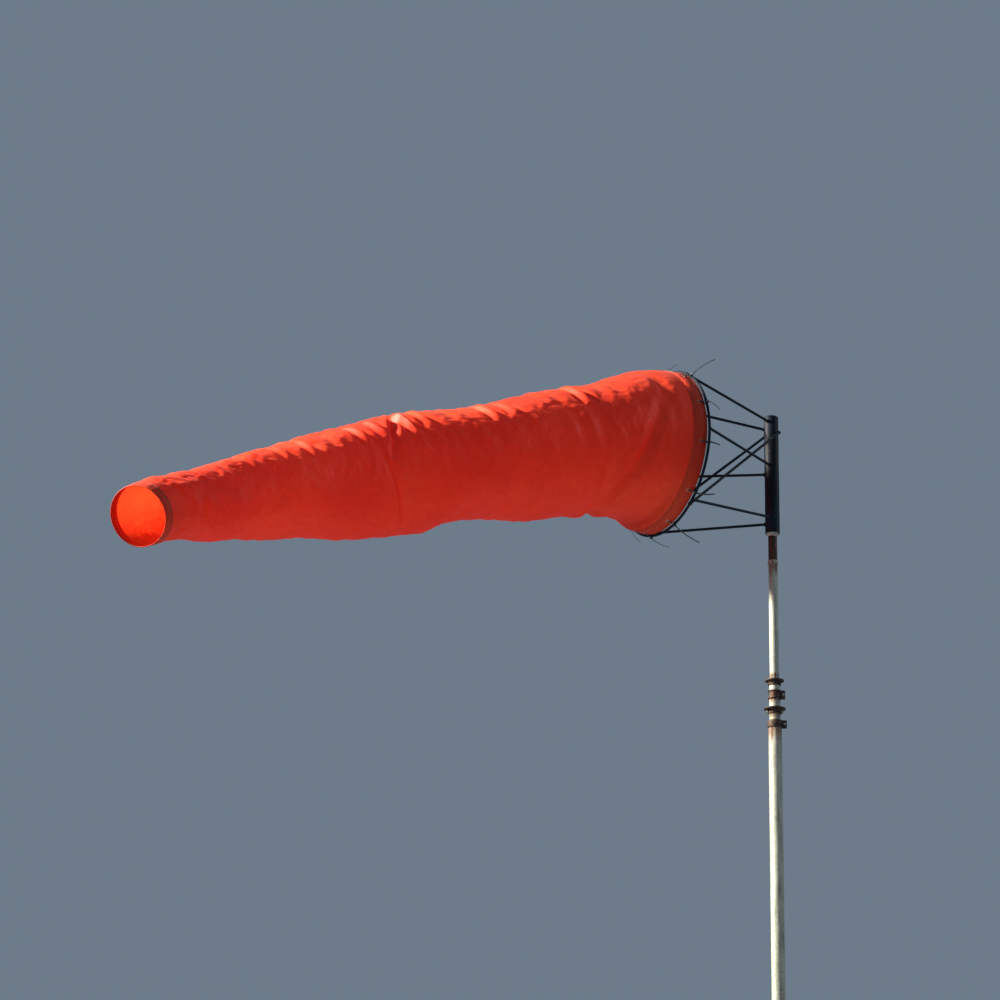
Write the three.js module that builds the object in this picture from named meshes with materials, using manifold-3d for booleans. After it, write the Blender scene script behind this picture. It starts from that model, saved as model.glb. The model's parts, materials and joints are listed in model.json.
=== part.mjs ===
// A windsock on a telescoping steel mast. The swivelling head carries a welded frame with a mouth ring,
// and a tapered cloth sock is tied to the ring with cable ties.
// Millimetres, +Z up. The origin is the middle of the base plate's underside, and the sock streams along -X.
import * as THREE from 'three';
import { mergeVertices } from 'three/addons/utils/BufferGeometryUtils.js';
import Module from 'manifold-3d';

const wasm = await Module();
wasm.setup();

// Fits shared by every piece.
const seatGap = 0.3; // between two faces that touch
const sleeveFit = 0.3; // radial clearance of a turned piece in its bore
const boltFit = 0.3; // radial clearance of a bolt in its hole

// Base plate with its socket.
const plateWidth = 300;
const plateThickness = 12;
const socketWall = 5.5;
const socketHeight = 200;
const gussetLength = 75;
const gussetHeight = 55;
const gussetThickness = 8;
const anchorInset = 35; // from the plate's edges to an anchor's axis
const anchorDiameter = 16;
const anchorHeight = 46;
const anchorHoleGap = 0.6; // radial clearance of an anchor in its hole
const anchorWasherThickness = 3;
const socketBoltDiameter = 12;
const socketBoltHeight = 92;

// The three mast tubes, from the ground up. Each slides in the one below it.
const baseTubeDiameter = 48.3;
const baseTubeWall = 3.2;
const middleTubeGap = 0.95; // radial clearance of the middle tube in the base tube
const middleTubeWall = 2.5;
const topTubeGap = 0.65; // radial clearance of the top tube in the middle tube
const topTubeWall = 2.6;
const sectionLength = 2438;
const middleExposed = 148; // height of the middle tube above the base tube
const topExposed = 447; // height of the top tube above the middle tube

// Clamps and guy rings on the mast.
const clampHeading = -35; // degrees, the way that the clamps' ears point
const guyRingPlate = 4;
const guyRingWall = 3.4;
const upperGuyRingDiameter = 70;
const upperGuyRingSkirt = 16;
const lowerGuyRingDiameter = 80;
const lowerGuyRingHub = 16;
const lowerGuyRingRise = 26; // above the base tube's end
const guyBoltDiameter = 8;
const bandClampHeight = 30;
const bandClampWall = 2.6;
const bandClampDrop = 36; // below the middle tube's end
const bandClampBead = 2.4;
const collarHeight = 27;
const collarWall = 3;
const clampEarLength = 15;
const clampEarThickness = 5;
const clampSlot = 5;
const clampBoltDiameter = 6;

// Spindle and swivel sleeve.
const spindleShankLength = 120;
const spindleNeckDiameter = 33;
const spindleNeckHeight = 111;
const journalDiameter = 25;
const threadDiameter = 20;
const spindlePinDiameter = 6;
const spindlePinDrop = 45;
const spindlePinInset = 0.5; // from the top tube's outside to the pin's ends
const threadSpare = 4; // of thread above the nut
const ferruleWall = 2;
const ferruleHeight = 17;
const sleeveDiameter = 54;
const sleeveWall = 3.2;
const sleeveLength = 459;
const capHeight = 8;
const capSpigot = 8;
const bearingBossDiameter = 36;
const bearingBoss = 11;
const bearingLength = 26;
const upperBearingDrop = 32; // from the sleeve's end down to the upper bearing
const spindleWasherGap = 3.8; // from the sleeve's bore to the washer
const spindleWasherThickness = 3;
const spindleNutHeight = 14;
const spindleNutFlats = 30;

// Frame and mouth ring.
const rodDiameter = 10;
const mouthDiameter = 610; // at the ring rod's centre line
const ringReach = 485; // from the mast's axis to the ring
const ringDrop = 18; // from the sleeve's middle down to the ring's centre
const rodSpread = 35; // degrees round the sleeve from straight ahead to a rod's foot
const nearRodTopDrop = 18.5; // below the sleeve's end
const farRodTopDrop = 44.5;
const braceDrop = 65.5;
const nearRodMiddleRise = 34; // above the sleeve's middle
const farRodMiddleRise = 2;
const nearRodFootRise = 60.5; // above the sleeve's lower end
const farRodFootRise = 38.5;

// Cable ties.
const tieWidth = 4.8;
const tieThickness = 1.3;
const tieHeadLength = 8;
const tieHeadWidth = 7;
const tieHeadHeight = 5;
const tieSlack = 0.6; // between a tie's loop and the ring rod
const tieOverlap = 9; // from the hem's front edge to the loop's far bend

// Sock.
const sockLength = 2438;
const tailDiameter = 196;
const clothWall = 1.2;
const hemWall = 2.4;
const hemSetback = 12; // from the ring's plane to the hem's front edge
const hemWidth = 50;
const hemInset = 4; // the hem's radius is this much less than the ring's
const mouthDroop = 21; // degrees that the sock droops to behind its hem
const mouthDroopShare = 0.1; // of the length, over which most of that droop comes
const tailDroop = 9; // degrees more towards the tail
const tailSwing = 31; // degrees that the tail swings towards -Y
const slackWidening = 0.4; // how much a slack stretch widens for each part of its height that it loses
const throatEnd = 600; // distances along the sock from the ring
const waistStart = 1300;
const waistEnd = 1750;
const tailHemWidth = 38;
const grommetDiameter = 9.6;
const grommetSeat = 3; // from the tie's bend to the middle of its grommet hole
const sockSides = 32;
const sockStep = 118;

const galvanised = new THREE.MeshStandardMaterial({ color: 0xb9b4a4, roughness: 0.55, metalness: 0.8 });
const rustedSteel = new THREE.MeshStandardMaterial({ color: 0x4a3d36, roughness: 0.75, metalness: 0.5 });
const zincSteel = new THREE.MeshStandardMaterial({ color: 0x8f8f8c, roughness: 0.45, metalness: 0.9 });
const blackPaint = new THREE.MeshStandardMaterial({ color: 0x14212e, roughness: 0.45, metalness: 0.1 });
const greyNylon = new THREE.MeshStandardMaterial({ color: 0x9a9c98, roughness: 0.6, metalness: 0 });
const blackNylon = new THREE.MeshStandardMaterial({ color: 0x17232c, roughness: 0.5, metalness: 0 });
const orangeCloth = new THREE.MeshStandardMaterial({ color: 0xd6331c, roughness: 0.7, metalness: 0 });

const radians = THREE.MathUtils.degToRad;
const windsock = new THREE.Group();

function addPart(parent, name, geometry, material) {
  const mesh = new THREE.Mesh(geometry, material.clone());
  mesh.name = name;
  parent.add(mesh);
  return mesh;
}

function toSolid(geometry) {
  const bare = geometry.clone();
  bare.deleteAttribute('normal');
  bare.deleteAttribute('uv');
  const merged = mergeVertices(bare, 1e-4);
  return new wasm.Manifold(new wasm.Mesh({
    numProp: 3,
    vertProperties: Float32Array.from(merged.attributes.position.array),
    triVerts: Uint32Array.from(merged.index.array),
  }));
}

function toGeometry(solid) {
  const mesh = solid.getMesh();
  const geometry = new THREE.BufferGeometry();
  geometry.setAttribute('position', new THREE.BufferAttribute(Float32Array.from(mesh.vertProperties), 3));
  geometry.setIndex(new THREE.BufferAttribute(Uint32Array.from(mesh.triVerts), 1));
  geometry.computeVertexNormals();
  return geometry;
}

function join(...geometries) {
  return toGeometry(geometries.map(toSolid).reduce((all, solid) => all.add(solid)));
}

function cut(geometry, ...tools) {
  return toGeometry(tools.map(toSolid).reduce((left, tool) => left.subtract(tool), toSolid(geometry)));
}

// A turned piece about Z, from [radius, height] pairs that run up its outside.
function turned(profile, segments = 24) {
  const points = profile.map(([radius, height]) => new THREE.Vector2(radius, height));
  return new THREE.LatheGeometry(points, segments).rotateX(Math.PI / 2);
}

function tubeAbout(outerRadius, innerRadius, bottom, top, segments = 24) {
  return turned([
    [innerRadius, bottom],
    [outerRadius, bottom],
    [outerRadius, top],
    [innerRadius, top],
    [innerRadius, bottom],
  ], segments);
}

function block(width, depth, height, x = 0, y = 0, z = 0) {
  return new THREE.BoxGeometry(width, depth, height).translate(x, y, z);
}

function barAlongX(diameter, start, end, segments = 12) {
  const length = end - start;
  return new THREE.CylinderGeometry(diameter / 2, diameter / 2, length, segments)
    .rotateZ(Math.PI / 2)
    .translate(start + length / 2, 0, 0);
}

function barAlongZ(diameter, bottom, top, segments = 12) {
  const length = top - bottom;
  return new THREE.CylinderGeometry(diameter / 2, diameter / 2, length, segments)
    .rotateX(Math.PI / 2)
    .translate(0, 0, bottom + length / 2);
}

// A hexagon of the given width across flats, along X.
function hexAlongX(flats, start, end) {
  return barAlongX(flats / Math.cos(Math.PI / 6), start, end, 6);
}

// A bolt and its nut along X, gripping what lies between the two x values.
function boltAlongX(diameter, gripStart, gripEnd) {
  const flats = diameter * 1.6;
  const headHeight = diameter * 0.65;
  const nutHeight = diameter * 0.8;
  const spare = diameter * 0.3;
  return join(
    barAlongX(diameter, gripStart - headHeight, gripEnd + nutHeight + spare),
    hexAlongX(flats, gripStart - seatGap - headHeight, gripStart - seatGap),
    hexAlongX(flats, gripEnd + seatGap, gripEnd + seatGap + nutHeight),
  );
}

// Sizes and heights that follow from the ones above.
const baseTubeBore = baseTubeDiameter - 2 * baseTubeWall;
const middleTubeDiameter = baseTubeBore - 2 * middleTubeGap;
const middleTubeBore = middleTubeDiameter - 2 * middleTubeWall;
const topTubeDiameter = middleTubeBore - 2 * topTubeGap;
const topTubeBore = topTubeDiameter - 2 * topTubeWall;
const baseTubeBottom = plateThickness + seatGap;
const baseTubeTop = baseTubeBottom + sectionLength;
const middleTubeTop = baseTubeTop + middleExposed;
const topTubeTop = middleTubeTop + topExposed;
const neckTop = topTubeTop + seatGap + spindleNeckHeight;
const sleeveBottom = neckTop + seatGap + bearingBoss;
const sleeveTop = sleeveBottom + sleeveLength;
const sleeveMiddle = (sleeveBottom + sleeveTop + capHeight) / 2;
const sleeveBore = sleeveDiameter - 2 * sleeveWall;
const socketBore = baseTubeDiameter + 2 * sleeveFit;
const socketDiameter = socketBore + 2 * socketWall;

function buildBase() {
  const base = new THREE.Group();
  windsock.add(base);

  const anchorSpacing = plateWidth / 2 - anchorInset;
  const corners = [[1, 1], [-1, 1], [-1, -1], [1, -1]];
  const gusset = new THREE.Shape([
    new THREE.Vector2(0, 0),
    new THREE.Vector2(gussetLength, 0),
    new THREE.Vector2(0, gussetHeight),
  ]);
  const gussets = [0, 90, 180, 270].map((heading) =>
    new THREE.ExtrudeGeometry(gusset, { depth: gussetThickness, bevelEnabled: false })
      .translate(socketDiameter / 2 - socketWall / 2, 0, -gussetThickness / 2)
      .rotateX(Math.PI / 2)
      .rotateZ(radians(heading))
      .translate(0, 0, plateThickness - seatGap));
  const plate = block(plateWidth, plateWidth, plateThickness, 0, 0, plateThickness / 2);
  const socket = tubeAbout(socketDiameter / 2, socketBore / 2, plateThickness / 2, plateThickness + socketHeight);
  const socketHollow = barAlongZ(socketBore, plateThickness, plateThickness + socketHeight + 1, 24);
  const anchorHoles = corners.map(([x, y]) =>
    barAlongZ(anchorDiameter + 2 * anchorHoleGap, -1, plateThickness + 1)
      .translate(x * anchorSpacing, y * anchorSpacing, 0));
  const socketBoltHole = barAlongX(socketBoltDiameter + 2 * boltFit, -socketDiameter, socketDiameter)
    .rotateZ(radians(45))
    .translate(0, 0, socketBoltHeight);
  addPart(base, 'base_plate',
    cut(join(plate, socket, ...gussets), socketHollow, socketBoltHole, ...anchorHoles), galvanised);

  corners.forEach(([x, y], index) => {
    const washerTop = plateThickness + seatGap + anchorWasherThickness;
    const stud = join(
      barAlongZ(anchorDiameter, seatGap, anchorHeight),
      barAlongZ(anchorDiameter * 1.9, plateThickness + seatGap, washerTop, 16),
      hexAlongX(anchorDiameter * 1.5, 0, anchorDiameter * 0.8).rotateY(-Math.PI / 2).translate(0, 0, washerTop),
    );
    addPart(base, `anchor_stud_${index + 1}`, stud, zincSteel)
      .position.set(x * anchorSpacing, y * anchorSpacing, 0);
  });

  const tube = tubeAbout(
    baseTubeDiameter / 2, baseTubeBore / 2, baseTubeBottom, baseTubeTop);
  addPart(base, 'mast_base_section', cut(tube, socketBoltHole), galvanised);

  const socketBolt = addPart(base, 'socket_bolt',
    boltAlongX(socketBoltDiameter, -socketDiameter / 2, socketDiameter / 2), zincSteel);
  socketBolt.position.z = socketBoltHeight;
  socketBolt.rotation.z = radians(45);

  addClamp(base, 'base_collar', {
    bore: baseTubeDiameter,
    wall: collarWall,
    height: collarHeight,
    bottom: baseTubeTop - collarHeight,
    bead: 0,
  });
}

// A split clamp: a band with two ears, drawn together by a bolt across the slot.
function addClamp(parent, name, { bore, wall, height, bottom, bead }) {
  const innerRadius = bore / 2 + seatGap;
  const outerRadius = innerRadius + wall;
  const earEnd = outerRadius + clampEarLength;
  const earWidth = clampSlot + 2 * clampEarThickness;
  const middle = height / 2;
  const pieces = [
    tubeAbout(outerRadius, innerRadius, 0, height),
    block(earEnd - innerRadius - wall / 2, earWidth, height, (earEnd + innerRadius + wall / 2) / 2, 0, middle),
  ];
  if (bead > 0) {
    pieces.push(tubeAbout(outerRadius + bead, innerRadius + wall / 2, 0, bead));
    pieces.push(tubeAbout(outerRadius + bead, innerRadius + wall / 2, height - bead, height));
  }
  const boltX = outerRadius + bead + (clampEarLength - bead) / 2;
  const slot = block(earEnd, clampSlot, height + 2, earEnd / 2 + innerRadius / 2, 0, middle);
  const boltHole = barAlongX(clampBoltDiameter + 2 * boltFit, -earWidth, earWidth)
    .rotateZ(Math.PI / 2)
    .translate(boltX, 0, middle);
  const placed = new THREE.Group();
  placed.position.z = bottom;
  placed.rotation.z = radians(clampHeading);
  parent.add(placed);
  addPart(placed, name, cut(join(...pieces), slot, boltHole), rustedSteel);
  const bolt = boltAlongX(clampBoltDiameter, -earWidth / 2, earWidth / 2).rotateZ(Math.PI / 2);
  addPart(placed, `${name}_bolt`, bolt, zincSteel).position.set(boltX, 0, middle);
}

function buildMiddleSection() {
  const middle = new THREE.Group();
  windsock.add(middle);
  const tubeRadius = middleTubeDiameter / 2;
  addPart(middle, 'mast_middle_section',
    tubeAbout(tubeRadius, middleTubeBore / 2, middleTubeTop - sectionLength, middleTubeTop), galvanised);

  // The upper guy ring caps the middle tube, and the top tube slides through it.
  const skirtInner = tubeRadius + seatGap;
  const skirtOuter = skirtInner + guyRingWall;
  const plateBottom = middleTubeTop + seatGap;
  addPart(middle, 'upper_guy_ring', turned([
    [skirtInner, plateBottom - upperGuyRingSkirt],
    [skirtOuter, plateBottom - upperGuyRingSkirt],
    [skirtOuter, plateBottom],
    [upperGuyRingDiameter / 2, plateBottom],
    [upperGuyRingDiameter / 2, plateBottom + guyRingPlate],
    [middleTubeBore / 2, plateBottom + guyRingPlate],
    [middleTubeBore / 2, plateBottom],
    [skirtInner, plateBottom],
    [skirtInner, plateBottom - upperGuyRingSkirt],
  ]), rustedSteel);

  addClamp(middle, 'band_clamp', {
    bore: middleTubeDiameter,
    wall: bandClampWall,
    height: bandClampHeight,
    bottom: middleTubeTop - bandClampDrop - bandClampHeight,
    bead: bandClampBead,
  });

  // The lower guy ring is held by two bolts that bear on the tube.
  const hubBottom = baseTubeTop + lowerGuyRingRise;
  const hubTop = hubBottom + lowerGuyRingHub;
  const boltHeight = hubBottom + lowerGuyRingHub / 2;
  const ring = turned([
    [skirtInner, hubBottom],
    [skirtOuter, hubBottom],
    [skirtOuter, hubTop],
    [lowerGuyRingDiameter / 2, hubTop],
    [lowerGuyRingDiameter / 2, hubTop + guyRingPlate],
    [skirtInner, hubTop + guyRingPlate],
    [skirtInner, hubBottom],
  ]);
  const boltHoles = barAlongX(guyBoltDiameter + 2 * boltFit, -lowerGuyRingDiameter, lowerGuyRingDiameter)
    .rotateZ(radians(clampHeading))
    .translate(0, 0, boltHeight);
  addPart(middle, 'lower_guy_ring', cut(ring, boltHoles), rustedSteel);
  ['right', 'left'].forEach((side, index) => {
    const bolt = join(
      barAlongX(guyBoltDiameter, tubeRadius + seatGap, skirtOuter + seatGap + guyBoltDiameter),
      hexAlongX(guyBoltDiameter * 1.6, skirtOuter + seatGap, skirtOuter + seatGap + guyBoltDiameter * 0.65),
    );
    const mesh = addPart(middle, `guy_ring_bolt_${side}`, bolt, zincSteel);
    mesh.position.z = boltHeight;
    mesh.rotation.z = radians(clampHeading + 180 * index);
  });
}

function buildTopSection() {
  const top = new THREE.Group();
  windsock.add(top);
  const pinHeight = topTubeTop - spindlePinDrop;
  const pinHole = barAlongX(spindlePinDiameter + 2 * boltFit, -topTubeDiameter, topTubeDiameter)
    .translate(0, 0, pinHeight);
  const tube = tubeAbout(topTubeDiameter / 2, topTubeBore / 2, topTubeTop - sectionLength, topTubeTop);
  addPart(top, 'mast_top_section', cut(tube, pinHole), galvanised);

  const shankRadius = topTubeBore / 2 - sleeveFit;
  const neckBottom = topTubeTop + seatGap;
  const journalTop = sleeveTop - upperBearingDrop;
  const threadTop = journalTop + spindleWasherThickness + spindleNutHeight + threadSpare;
  const spindle = turned([
    [0, topTubeTop - spindleShankLength],
    [shankRadius, topTubeTop - spindleShankLength],
    [shankRadius, neckBottom],
    [spindleNeckDiameter / 2, neckBottom],
    [spindleNeckDiameter / 2, neckTop],
    [journalDiameter / 2, neckTop],
    [journalDiameter / 2, journalTop],
    [threadDiameter / 2, journalTop],
    [threadDiameter / 2, threadTop],
    [0, threadTop],
  ]);
  addPart(top, 'spindle', cut(spindle, pinHole), rustedSteel);

  const pinEnd = topTubeDiameter / 2 - spindlePinInset;
  addPart(top, 'spindle_pin', barAlongX(spindlePinDiameter, -pinEnd, pinEnd), zincSteel)
    .position.z = pinHeight;

  const ferruleInner = spindleNeckDiameter / 2 + sleeveFit;
  const ferruleBottom = neckBottom + seatGap;
  addPart(top, 'top_ferrule', turned([
    [ferruleInner, ferruleBottom],
    [ferruleInner + ferruleWall, ferruleBottom],
    [ferruleInner + ferruleWall, ferruleBottom + ferruleHeight * 0.7],
    [ferruleInner + ferruleWall * 0.4, ferruleBottom + ferruleHeight],
    [ferruleInner, ferruleBottom + ferruleHeight],
    [ferruleInner, ferruleBottom],
  ]), galvanised);

  const washerBottom = journalTop + seatGap;
  const washerTop = washerBottom + spindleWasherThickness;
  const threadHole = threadDiameter / 2 + boltFit;
  addPart(top, 'spindle_washer',
    tubeAbout(sleeveBore / 2 - spindleWasherGap, threadHole, washerBottom, washerTop), zincSteel);
  const nut = hexAlongX(spindleNutFlats, 0, spindleNutHeight)
    .rotateY(-Math.PI / 2)
    .translate(0, 0, washerTop + seatGap);
  addPart(top, 'spindle_nut',
    cut(nut, barAlongZ(threadHole * 2, washerTop - 1, washerTop + spindleNutHeight + 2, 24)), zincSteel);
}

const ringCentre = new THREE.Vector3(-ringReach, 0, sleeveMiddle - ringDrop);

// The way out from the ring's centre at an angle, 0 being -Y and 90 straight up.
function ringDirection(angle) {
  return new THREE.Vector3(0, -Math.cos(radians(angle)), Math.sin(radians(angle)));
}

function ringPoint(angle) {
  return ringCentre.clone().addScaledVector(ringDirection(angle), mouthDiameter / 2);
}

// A rod that stops just inside the ring's own rod, where it is coped.
function rodBetween(start, ringEnd) {
  const full = ringEnd.clone().sub(start);
  const along = full.clone().setLength(full.length() - rodDiameter / 4);
  const turn = new THREE.Quaternion().setFromUnitVectors(
    new THREE.Vector3(0, 1, 0), along.clone().normalize());
  const middle = start.clone().addScaledVector(along, 0.5);
  return new THREE.CylinderGeometry(rodDiameter / 2, rodDiameter / 2, along.length(), 12)
    .applyQuaternion(turn)
    .translate(middle.x, middle.y, middle.z);
}

function ringOf(rodRadius, tubularSegments) {
  return new THREE.TorusGeometry(mouthDiameter / 2, rodRadius, 8, tubularSegments)
    .rotateY(Math.PI / 2)
    .translate(ringCentre.x, ringCentre.y, ringCentre.z);
}

function buildHead() {
  const head = new THREE.Group();
  windsock.add(head);
  const sleeveRadius = sleeveDiameter / 2;
  addPart(head, 'swivel_sleeve', tubeAbout(sleeveRadius, sleeveBore / 2, sleeveBottom, sleeveTop), blackPaint);

  const spigotRadius = sleeveBore / 2 - sleeveFit;
  const capBottom = sleeveTop + seatGap;
  const capEdge = capHeight * 0.4;
  const capRound = [30, 60].map((angle) => [
    sleeveRadius - capHeight + capHeight * Math.cos(radians(angle)),
    capBottom + capEdge + (capHeight - capEdge) * Math.sin(radians(angle)),
  ]);
  addPart(head, 'sleeve_cap', turned([
    [0, capBottom - capSpigot],
    [spigotRadius, capBottom - capSpigot],
    [spigotRadius, capBottom],
    [sleeveRadius, capBottom],
    [sleeveRadius, capBottom + capEdge],
    ...capRound,
    [sleeveRadius - capHeight, capBottom + capHeight],
    [0, capBottom + capHeight],
  ]), blackPaint);

  const bearingBore = journalDiameter / 2 + sleeveFit;
  addPart(head, 'lower_bearing', turned([
    [bearingBore, sleeveBottom - bearingBoss],
    [bearingBossDiameter / 2, sleeveBottom - bearingBoss],
    [bearingBossDiameter / 2, sleeveBottom],
    [spigotRadius, sleeveBottom],
    [spigotRadius, sleeveBottom + bearingLength],
    [bearingBore, sleeveBottom + bearingLength],
    [bearingBore, sleeveBottom - bearingBoss],
  ]), greyNylon);
  const upperBearingTop = sleeveTop - upperBearingDrop;
  addPart(head, 'upper_bearing',
    tubeAbout(spigotRadius, bearingBore, upperBearingTop - bearingLength, upperBearingTop), greyNylon);

  addPart(head, 'mouth_ring', ringOf(rodDiameter / 2, 60), blackPaint);

  // Each rod is coped to the sleeve and to the ring.
  const keepOut = [
    barAlongZ(sleeveDiameter + 2 * seatGap, sleeveBottom - 1, sleeveTop + 1, 24),
    ringOf(rodDiameter / 2 + seatGap, 60),
  ];
  const rods = {
    upper_near_rod: { side: -1, height: sleeveTop - nearRodTopDrop, angle: 59 },
    upper_far_rod: { side: 1, height: sleeveTop - farRodTopDrop, angle: 120 },
    middle_near_rod: { side: -1, height: sleeveMiddle + nearRodMiddleRise, angle: 0 },
    middle_far_rod: { side: 1, height: sleeveMiddle + farRodMiddleRise, angle: 180 },
    lower_near_rod: { side: -1, height: sleeveBottom + nearRodFootRise, angle: -51 },
    lower_far_rod: { side: 1, height: sleeveBottom + farRodFootRise, angle: -119 },
    far_brace: { side: 1, height: sleeveTop - braceDrop, angle: -124 },
  };
  for (const [name, { side, height, angle }] of Object.entries(rods)) {
    const foot = new THREE.Vector3(
      -(sleeveRadius - rodDiameter) * Math.cos(radians(rodSpread)),
      side * (sleeveRadius - rodDiameter) * Math.sin(radians(rodSpread)),
      height,
    );
    addPart(head, name, cut(rodBetween(foot, ringPoint(angle)), ...keepOut), blackPaint);
  }

  // The near brace passes along the sleeve's side and is welded where it touches.
  const braceEnd = ringPoint(-55);
  const away = new THREE.Vector3(braceEnd.x, braceEnd.y, 0).normalize();
  const sideways = new THREE.Vector3(-away.y, away.x, 0);
  const clear = sleeveRadius + rodDiameter / 2 + seatGap;
  const touchAngle = Math.acos(clear / Math.hypot(braceEnd.x, braceEnd.y));
  const touch = new THREE.Vector3(0, 0, sleeveTop - braceDrop)
    .addScaledVector(away, clear * Math.cos(touchAngle))
    .addScaledVector(sideways, clear * Math.sin(touchAngle));
  const braceStart = touch.clone().addScaledVector(braceEnd.clone().sub(touch).normalize(), -rodDiameter);
  addPart(head, 'near_brace', cut(rodBetween(braceStart, braceEnd), keepOut[1]), blackPaint);
  return head;
}

// Ties round the ring: the angle on the ring, then the free end's slope away from the mast's side and its length.
const ties = [
  { angle: 86, slope: 43, tail: 62 },
  { angle: 52, slope: 47, tail: 100 },
  { angle: 20, slope: -23, tail: 72 },
  { angle: -10, slope: -12, tail: 45 },
  { angle: -45, slope: -20, tail: 95 },
  { angle: -75, slope: 28, tail: 108 },
  { angle: -104, slope: 12, tail: 80 },
  { angle: -133, slope: 35, tail: 68 },
  { angle: -162, slope: -15, tail: 76 },
  { angle: 170, slope: 20, tail: 90 },
  { angle: 142, slope: -18, tail: 84 },
  { angle: 114, slope: 40, tail: 95 },
];
const tieInner = rodDiameter / 2 + tieSlack;
const tieReach = hemSetback + tieOverlap;
const grommetSetback = tieReach + tieInner + grommetSeat;

// A loop with round ends about the ring rod and the hem's edge, in the plane across the ring.
function loopOutline(radius, sink) {
  const outline = new THREE.Shape();
  outline.absarc(0, 0, radius, Math.PI / 2, Math.PI * 1.5, false);
  outline.absarc(tieReach, -sink, radius, -Math.PI / 2, Math.PI / 2, false);
  return outline;
}

function buildTies(head) {
  const sink = hemInset + 2;
  const loop = loopOutline(tieInner + tieThickness, sink);
  loop.holes.push(loopOutline(tieInner, sink));
  const loopSolid = new THREE.ExtrudeGeometry(loop, { depth: tieWidth, bevelEnabled: false, curveSegments: 4 })
    .translate(0, 0, -tieWidth / 2);
  const headBase = tieInner + tieThickness / 2;
  const headBlock = block(tieHeadLength, tieHeadHeight, tieHeadWidth, 0, headBase + tieHeadHeight / 2, 0);
  ties.forEach(({ angle, slope, tail }, index) => {
    const lean = radians(slope);
    const start = new THREE.Vector2(-tieHeadLength / 4, headBase + tieHeadHeight * 0.6);
    const bow = tail * 0.12;
    const end = new THREE.Vector2(start.x - tail * Math.cos(lean), start.y + tail * Math.sin(lean));
    const knee = new THREE.Vector2(
      (start.x + end.x) / 2 + bow * Math.sin(lean), (start.y + end.y) / 2 + bow * Math.cos(lean));
    const centreLine = new THREE.QuadraticBezierCurve(start, knee, end).getPoints(4);
    const thickness = new THREE.Vector2(Math.sin(lean), Math.cos(lean)).multiplyScalar(tieThickness);
    const strip = new THREE.Shape([
      ...centreLine,
      ...centreLine.map((point) => point.clone().add(thickness)).reverse(),
    ]);
    const stripSolid = new THREE.ExtrudeGeometry(strip, { depth: tieWidth, bevelEnabled: false })
      .translate(0, 0, -tieWidth / 2);
    const outward = ringDirection(angle);
    const along = new THREE.Vector3(-1, 0, 0);
    const place = new THREE.Matrix4()
      .makeBasis(along, outward, along.clone().cross(outward))
      .setPosition(ringPoint(angle));
    const name = `mouth_tie_${String(index + 1).padStart(2, '0')}`;
    addPart(head, name, join(loopSolid, headBlock, stripSolid).applyMatrix4(place), blackNylon);
  });
}

// The sock's centre line: it leaves the ring square, droops behind the hem, and swings round towards -Y at the tail.
function sockHeading(share) {
  const past = Math.max(0, share - (hemSetback + hemWidth) / sockLength);
  const droop = radians(mouthDroop * (1 - Math.exp(-past / mouthDroopShare)) + tailDroop * share ** 5);
  const swing = radians(tailSwing * share ** 1.5);
  return new THREE.Vector3(
    -Math.cos(droop) * Math.cos(swing), -Math.cos(droop) * Math.sin(swing), -Math.sin(droop));
}

const centreStep = 4;
const centreLine = [ringCentre.clone()];
for (let along = 0; along < sockLength; along += centreStep) {
  const heading = sockHeading((along + centreStep / 2) / sockLength);
  centreLine.push(centreLine[centreLine.length - 1].clone().addScaledVector(heading, centreStep));
}

function sockCentre(along) {
  const place = Math.min(along / centreStep, centreLine.length - 1.001);
  const index = Math.floor(place);
  return centreLine[index].clone().lerp(centreLine[index + 1], place - index);
}

// Height of the slack cloth over the height of the full cone, at distances along the sock.
const fullness = [[0, 1], [70, 1], [190, 0.85], [450, 0.83], [800, 0.81], [1300, 1], [1800, 0.93],
  [2200, 0.9], [sockLength, 0.97]];

function fullnessAt(along) {
  const next = fullness.findIndex(([place]) => place >= along);
  const [endPlace, endValue] = fullness[Math.max(next, 1)];
  const [startPlace, startValue] = fullness[Math.max(next, 1) - 1];
  const share = THREE.MathUtils.smoothstep(along, startPlace, endPlace);
  return startValue + (endValue - startValue) * share;
}

// A stretch of the sock's wall, lathed straight and then bent onto the centre line.
function sockWall(start, end, wall, steps) {
  const unit = 1000;
  const places = Array.from({ length: steps + 1 }, (_, index) => start + (end - start) * index / steps);
  const profile = [
    ...places.map((place) => new THREE.Vector2(unit + wall / 2, place)),
    ...places.reverse().map((place) => new THREE.Vector2(unit - wall / 2, place)),
    new THREE.Vector2(unit + wall / 2, start),
  ];
  const geometry = new THREE.LatheGeometry(profile, sockSides);
  const position = geometry.attributes.position;
  const mouthRadius = mouthDiameter / 2 - hemInset;
  for (let index = 0; index < position.count; index += 1) {
    const x = position.getX(index);
    const z = position.getZ(index);
    const along = position.getY(index);
    const distance = Math.hypot(x, z);
    const offset = distance - unit;
    const coneRadius = mouthRadius + (tailDiameter / 2 - mouthRadius) * along / sockLength;
    const full = fullnessAt(along);
    const heading = sockHeading(along / sockLength);
    const up = new THREE.Vector3(0, 0, 1).addScaledVector(heading, -heading.z).normalize();
    const side = heading.clone().cross(up);
    const point = sockCentre(along)
      .addScaledVector(side, x / distance * (coneRadius * (1 + slackWidening * (1 - full)) + offset))
      .addScaledVector(up, z / distance * (coneRadius * full + offset));
    position.setXYZ(index, point.x, point.y, point.z);
  }
  geometry.computeVertexNormals();
  return geometry;
}

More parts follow.
